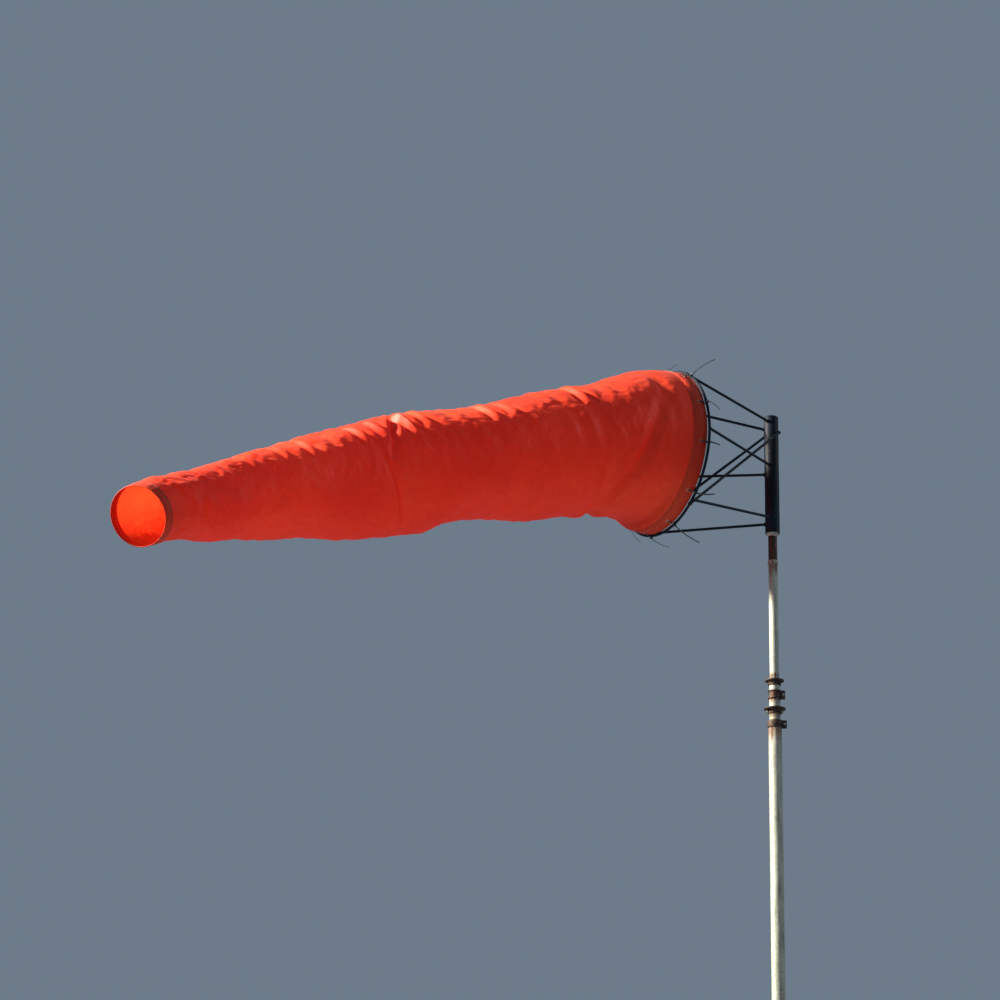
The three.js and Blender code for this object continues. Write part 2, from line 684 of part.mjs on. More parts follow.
function buildSock(head) {
  const hemEnd = hemSetback + hemWidth;
  const hem = sockWall(hemSetback, hemEnd, hemWall, 2);
  const grommets = ties.map(({ angle }) => {
    const outward = ringDirection(angle);
    const turn = new THREE.Quaternion().setFromUnitVectors(new THREE.Vector3(0, 1, 0), outward);
    const centre = ringPoint(angle).add(new THREE.Vector3(-grommetSetback, 0, 0));
    return new THREE.CylinderGeometry(grommetDiameter / 2, grommetDiameter / 2, 60, 8)
      .applyQuaternion(turn)
      .translate(centre.x, centre.y, centre.z);
  });
  addPart(head, 'mouth_hem', cut(hem, ...grommets), orangeCloth);

  const panels = [
    ['sock_throat', hemEnd + seatGap, throatEnd],
    ['sock_front_panel', throatEnd + seatGap, waistStart],
    ['sock_waist', waistStart + seatGap, waistEnd],
    ['sock_rear_panel', waistEnd + seatGap, sockLength - tailHemWidth],
  ];
  for (const [name, start, end] of panels) {
    const steps = Math.max(2, Math.round((end - start) / sockStep));
    addPart(windsock, name, sockWall(start, end, clothWall, steps), orangeCloth);
  }
  const tailHemStart = sockLength - tailHemWidth + seatGap;
  addPart(windsock, 'tail_hem', sockWall(tailHemStart, sockLength, hemWall, 1), orangeCloth);
}

buildBase();
buildMiddleSection();
buildTopSection();
const head = buildHead();
buildTies(head);
buildSock(head);

export default windsock;
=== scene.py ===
# A windsock on a telescoping mast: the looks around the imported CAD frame. Metres, +Z up.
import json
import math

import bpy
import numpy as np
from mathutils import Matrix, Vector, noise

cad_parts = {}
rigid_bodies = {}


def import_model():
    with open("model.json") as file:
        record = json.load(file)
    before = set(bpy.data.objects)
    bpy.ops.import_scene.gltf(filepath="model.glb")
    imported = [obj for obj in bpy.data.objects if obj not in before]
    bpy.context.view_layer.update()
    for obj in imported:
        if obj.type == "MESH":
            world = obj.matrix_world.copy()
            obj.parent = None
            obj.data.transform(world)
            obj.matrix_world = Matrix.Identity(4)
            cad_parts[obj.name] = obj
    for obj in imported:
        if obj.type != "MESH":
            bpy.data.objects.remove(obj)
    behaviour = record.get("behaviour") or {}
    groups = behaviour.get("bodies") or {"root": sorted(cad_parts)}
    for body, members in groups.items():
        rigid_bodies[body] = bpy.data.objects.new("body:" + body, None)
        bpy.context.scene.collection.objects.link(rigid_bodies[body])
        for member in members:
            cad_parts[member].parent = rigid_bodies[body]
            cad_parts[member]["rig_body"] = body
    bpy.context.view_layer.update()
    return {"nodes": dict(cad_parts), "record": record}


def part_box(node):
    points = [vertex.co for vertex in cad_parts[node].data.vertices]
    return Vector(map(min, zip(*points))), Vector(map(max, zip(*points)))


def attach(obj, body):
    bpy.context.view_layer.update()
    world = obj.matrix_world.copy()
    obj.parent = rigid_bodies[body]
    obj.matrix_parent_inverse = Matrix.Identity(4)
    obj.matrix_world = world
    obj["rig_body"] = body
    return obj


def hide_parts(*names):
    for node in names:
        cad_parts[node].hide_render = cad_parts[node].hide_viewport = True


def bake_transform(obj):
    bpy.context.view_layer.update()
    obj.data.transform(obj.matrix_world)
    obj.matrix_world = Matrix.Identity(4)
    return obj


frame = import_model()
print("frame loaded")

mm = 0.001
tau = 2 * math.pi
up = Vector((0, 0, 1))
scene = bpy.context.scene


def lowOf(node, axis):
    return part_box(node)[0][axis]


def highOf(node, axis):
    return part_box(node)[1][axis]


# Colours and shader nodes.
def colourOf(hexCode):
    parts = [int(hexCode[i:i + 2], 16) / 255 for i in (1, 3, 5)]
    linear = [p / 12.92 if p <= 0.04045 else ((p + 0.055) / 1.055) ** 2.4 for p in parts]
    return (*linear, 1)


def addNode(tree, kind, settings=None, inputs=None):
    # settings are the node's own properties, or "stops" for a ramp: (position, value) pairs
    # inputs are values, sockets to link from, or hex colours
    node = tree.nodes.new("ShaderNode" + kind)
    for key, value in (settings or {}).items():
        if key != "stops":
            setattr(node, key, value)
            continue
        elements = node.color_ramp.elements
        while len(elements) < len(value):
            elements.new(0.5)
        for element, (position, tone) in zip(elements, value):
            element.position = position
            element.color = colourOf(tone) if isinstance(tone, str) else (tone, tone, tone, 1)
    for key, value in (inputs or {}).items():
        if isinstance(value, bpy.types.NodeSocket):
            tree.links.new(value, node.inputs[key])
        else:
            node.inputs[key].default_value = colourOf(value) if isinstance(value, str) else value
    return node


def startMaterial(name):
    material = bpy.data.materials.new(name)
    material.use_nodes = True
    tree = material.node_tree
    tree.nodes.clear()
    place = addNode(tree, "TexCoord").outputs["Object"]
    return material, tree, place


def endMaterial(tree, shader):
    addNode(tree, "OutputMaterial", {}, {"Surface": shader})


galvanised = {
    "zinc": "#949a90",
    "paleZinc": "#adb3a9",
    "rust": "#7a4a2c",
    "darkRust": "#4a2c1d",
    "spangle": 0.007,  # width of one zinc crystal
    "streakWidth": 0.006,
    "roughness": 0.64,
    "rustHeights": [],  # filled in below, from the fittings
}


def galvanisedSteel():
    # hot-dip galvanised tube, dulled by weather: grey zinc with crystals, and rust run down from the fittings
    look = galvanised
    material, tree, place = startMaterial("weatheredGalvanisedSteel")
    crystals = addNode(tree, "TexVoronoi", {}, {"Vector": place, "Scale": 1 / look["spangle"]})
    crystalTone = addNode(tree, "SeparateColor", {}, {"Color": crystals.outputs["Color"]}).outputs["Red"]
    weather = addNode(tree, "TexNoise", {}, {
        "Vector": addNode(tree, "Mapping", {}, {"Vector": place, "Scale": (1, 1, 0.18)}).outputs[0],
        "Scale": 45,
        "Detail": 6,
    })
    streaks = addNode(tree, "TexNoise", {}, {
        "Vector": addNode(tree, "Mapping", {}, {"Vector": place, "Scale": (1, 1, 0.03)}).outputs[0],
        "Scale": 1 / look["streakWidth"],
        "Detail": 4,
    })
    tone = addNode(tree, "Math", {"operation": "MULTIPLY_ADD"}, {
        0: crystalTone,
        1: 0.16,
        2: weather.outputs["Fac"],
    }).outputs[0]
    zinc = addNode(tree, "ValToRGB", {
        "stops": [(0.36, "#7b8077"), (0.55, look["zinc"]), (0.78, look["paleZinc"])],
    }, {
        "Fac": tone,
    }).outputs["Color"]
    height = addNode(tree, "SeparateXYZ", {}, {"Vector": place}).outputs["Z"]
    near = None
    for source, run in look["rustHeights"]:
        below = addNode(tree, "Math", {"operation": "DIVIDE"}, {
            0: addNode(tree, "Math", {"operation": "SUBTRACT"}, {0: source, 1: height}).outputs[0],
            1: run,
        }).outputs[0]
        fade = addNode(tree, "Math", {"operation": "SUBTRACT"}, {
            0: 1,
            1: addNode(tree, "Math", {"operation": "ABSOLUTE"}, {
                0: addNode(tree, "Math", {"operation": "SUBTRACT"}, {0: below, 1: 0.12}).outputs[0],
            }).outputs[0],
        }).outputs[0]
        fade = addNode(tree, "Math", {"operation": "MAXIMUM"}, {0: fade, 1: 0}).outputs[0]
        if near is not None:
            fade = addNode(tree, "Math", {"operation": "MAXIMUM"}, {0: near, 1: fade}).outputs[0]
        near = fade
    rustAmount = addNode(tree, "Math", {"operation": "MULTIPLY"}, {
        0: near,
        1: addNode(tree, "Math", {"operation": "MULTIPLY"}, {0: streaks.outputs["Fac"], 1: 1.6}).outputs[0],
    }).outputs[0]
    rustMask = addNode(tree, "ValToRGB", {"stops": [(0.5, 0.0), (0.86, 0.9)]}, {
        "Fac": rustAmount,
    }).outputs["Color"]
    blotch = addNode(tree, "TexNoise", {}, {"Vector": place, "Scale": 160, "Detail": 5})
    rust = addNode(tree, "ValToRGB", {"stops": [(0.35, look["darkRust"]), (0.65, look["rust"])]}, {
        "Fac": blotch.outputs["Fac"],
    }).outputs["Color"]
    base = addNode(tree, "Mix", {"data_type": "RGBA", "blend_type": "MIX"}, {
        0: rustMask,
        6: zinc,
        7: rust,
    }).outputs[2]
    rough = addNode(tree, "Math", {"operation": "MULTIPLY_ADD"}, {
        0: weather.outputs["Fac"],
        1: 0.3,
        2: look["roughness"] - 0.15,
    }).outputs[0]
    rough = addNode(tree, "Math", {"operation": "MULTIPLY_ADD"}, {0: rustMask, 1: 0.3, 2: rough}).outputs[0]
    metal = addNode(tree, "Math", {"operation": "MULTIPLY_ADD"}, {0: rustMask, 1: -0.3, 2: 0.35}).outputs[0]
    bump = addNode(tree, "Bump", {}, {
        "Height": addNode(tree, "Math", {"operation": "MULTIPLY_ADD"}, {
            0: rustMask,
            1: blotch.outputs["Fac"],
            2: crystalTone,
        }).outputs[0],
        "Strength": 0.12,
        "Distance": 0.0005,
    })
    shader = addNode(tree, "BsdfPrincipled", {}, {
        "Base Color": base, "Metallic": metal, "Roughness": rough, "Normal": bump.outputs["Normal"]})
    endMaterial(tree, shader.outputs["BSDF"])
    return material


fittingLook = {"scale": "#2b211c", "rust": "#6b3d22", "black": "#15161a", "grain": 0.004}


def rustyFitting():
    # cast and forged steel fittings whose black finish has gone: dark scale with brown rust, rough and pitted
    look = fittingLook
    material, tree, place = startMaterial("rustedForgedSteel")
    patches = addNode(tree, "TexNoise", {}, {"Vector": place, "Scale": 70, "Detail": 7, "Roughness": 0.65})
    grain = addNode(tree, "TexNoise", {}, {"Vector": place, "Scale": 1 / look["grain"], "Detail": 5})
    base = addNode(tree, "ValToRGB", {
        "stops": [(0.36, look["black"]), (0.5, look["scale"]), (0.66, look["rust"])],
    }, {
        "Fac": patches.outputs["Fac"],
    }).outputs["Color"]
    rough = addNode(tree, "Math", {"operation": "MULTIPLY_ADD"}, {
        0: patches.outputs["Fac"],
        1: 0.5,
        2: 0.4,
    }).outputs[0]
    bump = addNode(tree, "Bump", {}, {"Height": grain.outputs["Fac"], "Strength": 0.35, "Distance": 0.0008})
    shader = addNode(tree, "BsdfPrincipled", {}, {
        "Base Color": base, "Metallic": 0.35, "Roughness": rough, "Normal": bump.outputs["Normal"]})
    endMaterial(tree, shader.outputs["BSDF"])
    return material


zincLook = {"bright": "#a9a8a2", "dull": "#6f6e68", "rust": "#6e4527"}


def zincPlate():
    # bolts with dull zinc plate: grey metal, blotched, with a little rust in some of the blotches
    look = zincLook
    material, tree, place = startMaterial("dullZincPlate")
    blotch = addNode(tree, "TexNoise", {}, {"Vector": place, "Scale": 140, "Detail": 6})
    base = addNode(tree, "ValToRGB", {
        "stops": [(0.35, look["rust"]), (0.43, look["dull"]), (0.65, look["bright"])],
    }, {
        "Fac": blotch.outputs["Fac"],
    }).outputs["Color"]
    rough = addNode(tree, "Math", {"operation": "MULTIPLY_ADD"}, {
        0: blotch.outputs["Fac"],
        1: -0.4,
        2: 0.68,
    }).outputs[0]
    bump = addNode(tree, "Bump", {}, {"Height": blotch.outputs["Fac"], "Strength": 0.15, "Distance": 0.0004})
    shader = addNode(tree, "BsdfPrincipled", {}, {
        "Base Color": base, "Metallic": 0.85, "Roughness": rough, "Normal": bump.outputs["Normal"]})
    endMaterial(tree, shader.outputs["BSDF"])
    return material


paintLook = {
    "paint": "#07111d",
    "faded": "#142233",
    "primer": "#5b4636",
    "bareSteel": "#8b8984",
    "chip": 0.011,
}


def blackPaint():
    # blue-black enamel brushed on steel, its gloss gone: chalked by the sun, chipped to primer and steel
    look = paintLook
    material, tree, place = startMaterial("weatheredBlackEnamel")
    fade = addNode(tree, "TexNoise", {}, {
        "Vector": addNode(tree, "Mapping", {}, {"Vector": place, "Scale": (1, 1, 0.35)}).outputs[0],
        "Scale": 28,
        "Detail": 5,
    })
    chips = addNode(tree, "TexNoise", {}, {
        "Vector": place, "Scale": 1 / look["chip"], "Detail": 8, "Roughness": 0.6})
    brush = addNode(tree, "TexNoise", {}, {
        "Vector": addNode(tree, "Mapping", {}, {"Vector": place, "Scale": (1, 1, 0.05)}).outputs[0],
        "Scale": 600,
        "Detail": 2,
    })
    paint = addNode(tree, "ValToRGB", {"stops": [(0.4, look["paint"]), (0.72, look["faded"])]}, {
        "Fac": fade.outputs["Fac"],
    }).outputs["Color"]
    chipMask = addNode(tree, "ValToRGB", {"stops": [(0.665, 0.0), (0.685, 1.0)]}, {
        "Fac": chips.outputs["Fac"],
    }).outputs["Color"]
    steelMask = addNode(tree, "ValToRGB", {"stops": [(0.7, 0.0), (0.72, 1.0)]}, {
        "Fac": chips.outputs["Fac"],
    }).outputs["Color"]
    under = addNode(tree, "Mix", {"data_type": "RGBA", "blend_type": "MIX"}, {
        0: steelMask,
        6: look["primer"],
        7: look["bareSteel"],
    }).outputs[2]
    base = addNode(tree, "Mix", {"data_type": "RGBA", "blend_type": "MIX"}, {
        0: chipMask,
        6: paint,
        7: under,
    }).outputs[2]
    rough = addNode(tree, "Math", {"operation": "MULTIPLY_ADD"}, {
        0: fade.outputs["Fac"],
        1: 0.3,
        2: 0.42,
    }).outputs[0]
    rough = addNode(tree, "Math", {"operation": "MULTIPLY_ADD"}, {0: chipMask, 1: 0.25, 2: rough}).outputs[0]
    depth = addNode(tree, "Math", {"operation": "MULTIPLY_ADD"}, {
        0: chipMask,
        1: -1.0,
        2: addNode(tree, "Math", {"operation": "MULTIPLY"}, {0: brush.outputs["Fac"], 1: 0.35}).outputs[0],
    }).outputs[0]
    bump = addNode(tree, "Bump", {}, {"Height": depth, "Strength": 0.25, "Distance": 0.0004})
    shader = addNode(tree, "BsdfPrincipled", {}, {
        "Base Color": base,
        "Metallic": addNode(tree, "Math", {"operation": "MULTIPLY"}, {0: steelMask, 1: 0.8}).outputs[0],
        "Roughness": rough,
        "Normal": bump.outputs["Normal"],
        "Specular IOR Level": 0.12,
    })
    endMaterial(tree, shader.outputs["BSDF"])
    return material


def turnedNylon():
    # grey engineering nylon, turned on a lathe: satin, with fine tool rings
    material, tree, place = startMaterial("turnedGreyNylon")
    rings = addNode(tree, "TexWave", {"bands_direction": "Z"}, {
        "Vector": place, "Scale": 260, "Distortion": 0.4})
    dirt = addNode(tree, "TexNoise", {}, {"Vector": place, "Scale": 90, "Detail": 5})
    base = addNode(tree, "ValToRGB", {
        "stops": [(0.3, "#6f706c"), (0.55, "#9ea09a"), (0.75, "#b4b5ae")],
    }, {
        "Fac": dirt.outputs["Fac"],
    }).outputs["Color"]
    rough = addNode(tree, "Math", {"operation": "MULTIPLY_ADD"}, {
        0: dirt.outputs["Fac"],
        1: 0.3,
        2: 0.35,
    }).outputs[0]
    bump = addNode(tree, "Bump", {}, {"Height": rings.outputs["Fac"], "Strength": 0.2, "Distance": 0.0002})
    shader = addNode(tree, "BsdfPrincipled", {}, {
        "Base Color": base, "Roughness": rough, "IOR": 1.53, "Normal": bump.outputs["Normal"]})
    endMaterial(tree, shader.outputs["BSDF"])
    return material


def mouldedNylonTie():
    # black moulded nylon: satin, bleached a little by the sun, with the fine cross teeth of a tie
    material, tree, place = startMaterial("mouldedBlackNylon")
    bleach = addNode(tree, "TexNoise", {}, {"Vector": place, "Scale": 120, "Detail": 4})
    teeth = addNode(tree, "TexWave", {"bands_direction": "X"}, {"Vector": place, "Scale": 300})
    base = addNode(tree, "ValToRGB", {"stops": [(0.4, "#11161c"), (0.72, "#2c343c")]}, {
        "Fac": bleach.outputs["Fac"],
    }).outputs["Color"]
    rough = addNode(tree, "Math", {"operation": "MULTIPLY_ADD"}, {
        0: bleach.outputs["Fac"],
        1: 0.35,
        2: 0.25,
    }).outputs[0]
    bump = addNode(tree, "Bump", {}, {"Height": teeth.outputs["Fac"], "Strength": 0.25, "Distance": 0.0003})
    shader = addNode(tree, "BsdfPrincipled", {}, {
        "Base Color": base, "Roughness": rough, "IOR": 1.53, "Normal": bump.outputs["Normal"]})
    endMaterial(tree, shader.outputs["BSDF"])
    return material


clothLook = {
    "orange": "#d93a1e",
    "deep": "#cb2f1b",
    "faded": "#e24a28",
    "glow": "#ff3a14",
    "gridSpacing": 0.006,  # ripstop's thick threads stand 5 to 6 mm apart
    "threadSpacing": 0.0016,  # real threads are 0.3 mm apart, drawn coarser so that they show
    "glowShare": 0.28,
}


def ripstopNylon(name, look, glowShare):
    # coated ripstop nylon, dyed orange-red: satin, with a fine square grid, and it glows when lit from behind
    material, tree, place = startMaterial(name)
    weave = addNode(tree, "UVMap", {"uv_map": "cut"}).outputs["UV"]
    parts = addNode(tree, "SeparateXYZ", {}, {"Vector": weave})
    lines = []
    for part in ("X", "Y"):
        turns = addNode(tree, "Math", {"operation": "MULTIPLY"}, {
            0: parts.outputs[part],
            1: tau / look["gridSpacing"],
        }).outputs[0]
        wave = addNode(tree, "Math", {"operation": "COSINE"}, {
            0: addNode(tree, "Math", {"operation": "MULTIPLY"}, {0: turns, 1: 0.5}).outputs[0],
        }).outputs[0]
        thick = addNode(tree, "Math", {"operation": "POWER"}, {
            0: addNode(tree, "Math", {"operation": "ABSOLUTE"}, {0: wave}).outputs[0],
            1: 24,
        }).outputs[0]
        fineTurns = addNode(tree, "Math", {"operation": "MULTIPLY"}, {
            0: parts.outputs[part],
            1: tau / look["threadSpacing"],
        }).outputs[0]
        thread = addNode(tree, "Math", {"operation": "SINE"}, {0: fineTurns}).outputs[0]
        lines.append((thick, thread))
    grid = addNode(tree, "Math", {"operation": "MAXIMUM"}, {0: lines[0][0], 1: lines[1][0]}).outputs[0]
    threads = addNode(tree, "Math", {"operation": "MULTIPLY"}, {0: lines[0][1], 1: lines[1][1]}).outputs[0]
    fade = addNode(tree, "TexNoise", {}, {"Vector": place, "Scale": 2.6, "Detail": 5, "Roughness": 0.55})
    stain = addNode(tree, "TexNoise", {}, {
        "Vector": addNode(tree, "Mapping", {}, {"Vector": place, "Scale": (0.5, 1, 1)}).outputs[0],
        "Scale": 14,
        "Detail": 7,
    })
    base = addNode(tree, "ValToRGB", {
        "stops": [(0.3, look["deep"]), (0.5, look["orange"]), (0.74, look["faded"])],
    }, {
        "Fac": fade.outputs["Fac"],
    }).outputs["Color"]
    base = addNode(tree, "Mix", {"data_type": "RGBA", "blend_type": "MIX"}, {
        0: addNode(tree, "ValToRGB", {"stops": [(0.55, 0.0), (0.8, 0.28)]}, {
            "Fac": stain.outputs["Fac"],
        }).outputs["Color"],
        6: base,
        7: "#b8301c",
    }).outputs[2]
    base = addNode(tree, "Mix", {"data_type": "RGBA", "blend_type": "MIX"}, {
        0: addNode(tree, "Math", {"operation": "MULTIPLY"}, {0: grid, 1: 0.1}).outputs[0],
        6: base,
        7: "#ee6038",
    }).outputs[2]
    rough = addNode(tree, "Math", {"operation": "MULTIPLY_ADD"}, {
        0: stain.outputs["Fac"],
        1: 0.22,
        2: 0.46,
    }).outputs[0]
    creases = addNode(tree, "TexNoise", {}, {"Vector": place, "Scale": 55, "Detail": 5, "Roughness": 0.6})
    height = addNode(tree, "Math", {"operation": "MULTIPLY_ADD"}, {
        0: grid,
        1: 0.6,
        2: addNode(tree, "Math", {"operation": "MULTIPLY"}, {0: threads, 1: 0.35}).outputs[0],
    }).outputs[0]
    fine = addNode(tree, "Bump", {}, {"Height": height, "Strength": 0.25, "Distance": 0.0003})
    bump = addNode(tree, "Bump", {}, {
        "Height": creases.outputs["Fac"], "Strength": 0.22, "Distance": 0.004,
        "Normal": fine.outputs["Normal"]})
    skin = addNode(tree, "BsdfPrincipled", {}, {
        "Base Color": base, "Roughness": rough, "IOR": 1.5, "Sheen Weight": 0.03, "Sheen Roughness": 0.4,
        "Specular IOR Level": 0.25, "Normal": bump.outputs["Normal"]})
    through = addNode(tree, "BsdfTranslucent", {}, {
        "Color": addNode(tree, "Mix", {"data_type": "RGBA", "blend_type": "MIX"}, {
            0: 0.35,
            6: base,
            7: look["glow"],
        }).outputs[2],
        "Normal": bump.outputs["Normal"],
    })
    both = addNode(tree, "MixShader", {}, {0: glowShare, 1: skin.outputs["BSDF"], 2: through.outputs["BSDF"]})
    endMaterial(tree, both.outputs["Shader"])
    return material


def sewingThread():
    # bonded polyester thread, orange, close to the cloth's own colour: twisted, so it shines in bands
    material, tree, place = startMaterial("bondedPolyesterThread")
    twist = addNode(tree, "TexWave", {"bands_direction": "DIAGONAL"}, {"Vector": place, "Scale": 900})
    tone = addNode(tree, "TexNoise", {}, {"Vector": place, "Scale": 80})
    base = addNode(tree, "ValToRGB", {"stops": [(0.35, "#bd4227"), (0.65, "#d65e3a")]}, {
        "Fac": tone.outputs["Fac"],
    }).outputs["Color"]
    bump = addNode(tree, "Bump", {}, {"Height": twist.outputs["Fac"], "Strength": 0.3, "Distance": 0.0002})
    shader = addNode(tree, "BsdfPrincipled", {}, {
        "Base Color": base, "Roughness": 0.5, "IOR": 1.55, "Normal": bump.outputs["Normal"]})
    endMaterial(tree, shader.outputs["BSDF"])
    return material


def nickelBrass():
    # pressed brass eyelets with worn nickel plate: pale, with brass showing on the rims
    material, tree, place = startMaterial("wornNickelBrass")
    wear = addNode(tree, "TexNoise", {}, {"Vector": place, "Scale": 320, "Detail": 5})
    base = addNode(tree, "ValToRGB", {
        "stops": [(0.38, "#86703f"), (0.52, "#a19c8d"), (0.7, "#bab6aa")],
    }, {
        "Fac": wear.outputs["Fac"],
    }).outputs["Color"]
    rough = addNode(tree, "Math", {"operation": "MULTIPLY_ADD"}, {
        0: wear.outputs["Fac"],
        1: 0.4,
        2: 0.18,
    }).outputs[0]
    shader = addNode(tree, "BsdfPrincipled", {}, {"Base Color": base, "Metallic": 1.0, "Roughness": rough})
    endMaterial(tree, shader.outputs["BSDF"])
    return material


# rust runs down from each of these heights, over about the given length
galvanised["rustHeights"] = [
    (highOf("mast_top_section", 2), 0.10),
    (lowOf("upper_guy_ring", 2) + 0.03, 0.05),
    (highOf("upper_guy_ring", 2) + 0.02, 0.03),
    (lowOf("band_clamp", 2) + 0.004, 0.05),
    (lowOf("lower_guy_ring", 2) + 0.004, 0.05),
    (lowOf("base_collar", 2) + 0.004, 0.14),
    (highOf("base_plate", 2), 0.05),
    (0.03, 0.06),
]
materials = {
    "galvanised_tube": galvanisedSteel(),
    "rusty_fitting": rustyFitting(),
    "zinc_hardware": zincPlate(),
    "black_paint": blackPaint(),
    "grey_bearing": turnedNylon(),
    "black_tie": mouldedNylonTie(),
    "orange_cloth": ripstopNylon("orangeRipstopNylon", clothLook, clothLook["glowShare"]),
    "hem": ripstopNylon("orangeHemWebbing", {**clothLook, "orange": "#cc3a20", "faded": "#d64a2c"}, 0.3),
    "thread": sewingThread(),
    "eyelet": nickelBrass(),
}
print("materials made")


# Meshes.
def makePiece(name, points, faces, material, smooth=True):
    mesh = bpy.data.meshes.new(name)
    mesh.from_pydata([tuple(p) for p in points], [], faces)
    mesh.validate()
    mesh.update()
    piece = bpy.data.objects.new(name, mesh)
    scene.collection.objects.link(piece)
    mesh.materials.append(materials[material])
    if smooth:
        mesh.shade_smooth()
    return piece


def finishPiece(piece, body, slotName, *nodes):
    if body:
        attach(piece, body)
    if nodes:
        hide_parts(*nodes)
    return piece


def applyModifiers(piece):
    graph = bpy.context.evaluated_depsgraph_get()
    mesh = bpy.data.meshes.new_from_object(piece.evaluated_get(graph))
    piece.modifiers.clear()
    piece.data = mesh
    return piece


def sharpen(piece, angle=35):
    mesh = piece.data
    mesh.shade_smooth()
    mesh.set_sharp_from_angle(angle=math.radians(angle))


def refine(node, bevel=0.6 * mm, segments=2):
    # a finer copy of a machined piece: its sharp edges broken, its round faces shaded round
    source = frame["nodes"][node]
    slotName = next(s["material_slot"] for s in frame["record"]["subparts"] if s["node"] == node)
    mesh = source.data.copy()
    mesh.materials.clear()
    mesh.materials.append(materials[slotName])
    piece = bpy.data.objects.new("fine_" + node, mesh)
    scene.collection.objects.link(piece)
    weld = piece.modifiers.new("weld", "WELD")
    weld.merge_threshold = 0.01 * mm
    edges = piece.modifiers.new("edges", "BEVEL")
    edges.width = bevel
    edges.segments = segments
    edges.limit_method = "ANGLE"
    edges.angle_limit = math.radians(38)
    edges.harden_normals = False
    applyModifiers(piece)
    sharpen(piece, 32)
    return finishPiece(piece, source["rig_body"], slotName, node)


def lathe(name, profile, material, segments=96):
    # profile is [radius, height] pairs, closed on itself
    points = []
    for turn in range(segments):
        angle = tau * turn / segments
        points += [(r * math.cos(angle), r * math.sin(angle), h) for r, h in profile]
    count = len(profile)
    faces = []
    for turn in range(segments):
        here, there = turn * count, (turn + 1) % segments * count
        for i in range(count):
            j = (i + 1) % count
            faces.append((here + i, there + i, there + j, here + j))
    piece = makePiece(name, points, faces, material)
    sharpen(piece, 40)
    return piece


def sweep(points, radii, sides=20, closed=False):
    # a round bar along a list of points, with its ends closed
    points = [Vector(p) for p in points]
    count = len(points)
    reference = None
    rings = []
    for i, point in enumerate(points):
        if closed:
            tangent = (points[(i + 1) % count] - points[i - 1]).normalized()
        else:
            tangent = (points[min(i + 1, count - 1)] - points[max(i - 1, 0)]).normalized()
        if reference is None:
            reference = tangent.orthogonal()
        reference = (reference - tangent * reference.dot(tangent)).normalized()
        other = tangent.cross(reference)
        radius = radii[i] if hasattr(radii, "__len__") else radii
        turns = [tau * k / sides for k in range(sides)]
        rings.append([point + radius * (math.cos(turn) * reference + math.sin(turn) * other)
                      for turn in turns])
    verts = [p for ring in rings for p in ring]
    faces = []
    for i in range(count if closed else count - 1):
        a, b = i * sides, (i + 1) % count * sides
        faces += [(a + k, a + (k + 1) % sides, b + (k + 1) % sides, b + k) for k in range(sides)]
    if not closed:
        faces.append(tuple(reversed(range(sides))))
        faces.append(tuple(range((count - 1) * sides, count * sides)))
    return verts, faces


def merge(parts):
    verts, faces = [], []
    for partVerts, partFaces in parts:
        offset = len(verts)
        verts += partVerts
        faces += [tuple(i + offset for i in face) for face in partFaces]
    return verts, faces


# The mast.
mast = {
    "segments": 96,
    "edge": 0.8 * mm,  # rounding of a sawn tube's edges
    "walls": {"mast_base_section": 3.2 * mm, "mast_middle_section": 2.5 * mm, "mast_top_section": 2.6 * mm},
    "dents": 0.12 * mm,
}


def buildMast():
    for node, wall in mast["walls"].items():
        low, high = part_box(node)
        outer = (high.x - low.x) / 2
        inner = outer - wall
        edge = mast["edge"]
        steps = 60
        heights = [low.z + edge + (high.z - low.z - 2 * edge) * i / steps for i in range(steps + 1)]
        profile = [(inner, low.z), (outer - edge, low.z)]
        profile += [(outer, h) for h in heights]
        profile += [(outer - edge, high.z), (inner, high.z)]
        piece = lathe("fine_" + node, profile, "galvanised_tube", mast["segments"])
        for vertex in piece.data.vertices:
            # drawn tube is never quite even
            out = Vector((vertex.co.x, vertex.co.y, 0))
            push = noise.noise(Vector((vertex.co.x * 30, vertex.co.y * 30, vertex.co.z * 9))) * mast["dents"]
            vertex.co += out.normalized() * (push - mast["dents"])
        finishPiece(piece, frame["nodes"][node]["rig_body"], "galvanised_tube", node)


buildMast()
for node in frame["nodes"]:
    if node in mast["walls"]:
        continue
    if frame["nodes"][node]["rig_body"] in ("base", "middle", "top"):
        refine(node)
print("mast made")


# The head: sleeve, ring, rods and welds.
head = {
    "weldRadius": 3.6 * mm,
    "rodSides": 24,
    "ringSteps": 240,
}
ringLow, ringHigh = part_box("mouth_ring")
rodRadius = (ringHigh.x - ringLow.x) / 2
ringCentre = (ringLow + ringHigh) / 2
ringRadius = (ringHigh.y - ringLow.y) / 2 - rodRadius
sleeveRadius = (highOf("swivel_sleeve", 0) - lowOf("swivel_sleeve", 0)) / 2
rodNodes = ["upper_near_rod", "upper_far_rod", "middle_near_rod", "middle_far_rod",
            "lower_near_rod", "lower_far_rod", "near_brace", "far_brace"]


def rodAxis(node):
    # a rod's two end points, from the mesh of its CAD node
    points = np.array([v.co for v in frame["nodes"][node].data.vertices])
    middle = points.mean(0)
    direction = np.linalg.svd(points - middle, full_matrices=False)[2][0]
    if direction[0] > 0:
        direction = -direction
    along = (points - middle) @ direction
    ends = []
    for side in (along < along.min() + 0.02, along > along.max() - 0.02):
        group = points[side]
        onAxis = middle + direction * ((group - middle) @ direction)[:, None]
        ends.append(onAxis.mean(0))
    start = middle + direction * along.min()
    end = middle + direction * along.max()
    offset = (ends[0] + ends[1]) / 2 - middle
    offset -= direction * (offset @ direction)
    return Vector(start + offset), Vector(end + offset)


